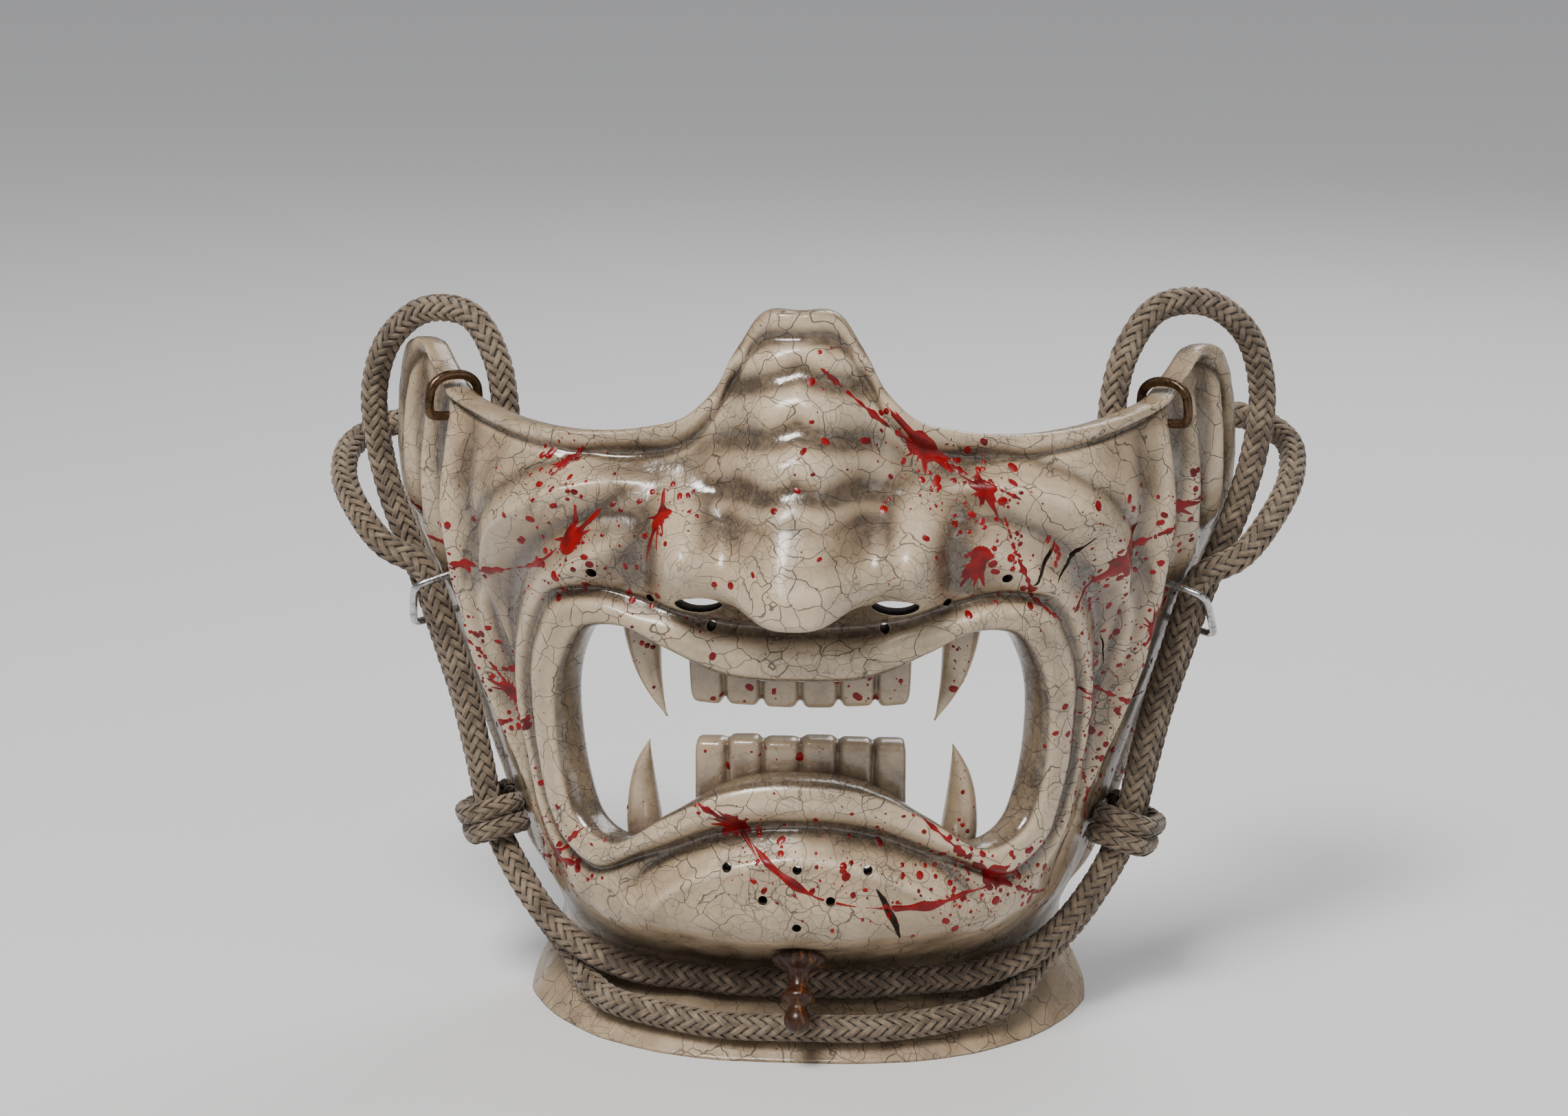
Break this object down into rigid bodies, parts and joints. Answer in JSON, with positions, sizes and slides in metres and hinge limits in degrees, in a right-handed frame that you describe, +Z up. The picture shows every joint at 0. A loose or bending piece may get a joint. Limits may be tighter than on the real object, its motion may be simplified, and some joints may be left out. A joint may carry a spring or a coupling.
{
  "type": "samurai half mask",
  "caption": "Lacquered armour half mask with open fanged mouth, throat flange, wooden chin peg, wire hooks and a braided cord laid double under the chin.",
  "frame": {"origin": "on the floor under the middle of the mask, which stands on the foot of its throat flange; the cord is not counted", "axes": "+Z up, the face looks along -Y, +X is to the viewer's right"},
  "size_m": [0.2267, 0.1129, 0.1659],
  "materials": {
    "crackled_lacquer": "bone lacquer with fine dark crackle, brown wash in the hollows and red splashes",
    "tooth_lacquer": "glossy bone lacquer, darker at the roots",
    "peg_wood": "dark turned wood under gloss lacquer",
    "dark_bronze": "dark oiled bronze wire",
    "hook_steel": "bright steel wire",
    "braided_cord": "tan and brown braid"
  },
  "bodies": {
    "root": {"face_shell": "crackled_lacquer", "upper_teeth": "tooth_lacquer", "lower_teeth": "tooth_lacquer", "fang_upper_left": "tooth_lacquer", "fang_upper_right": "tooth_lacquer", "fang_lower_left": "tooth_lacquer", "fang_lower_right": "tooth_lacquer", "chin_peg": "peg_wood", "top_hook_left": "dark_bronze", "top_hook_right": "dark_bronze", "side_hook_left": "hook_steel", "side_hook_right": "hook_steel", "knot_left": "braided_cord", "knot_right": "braided_cord", "outer_cord": "braided_cord", "inner_cord": "braided_cord"}
  },
  "joints": []
}
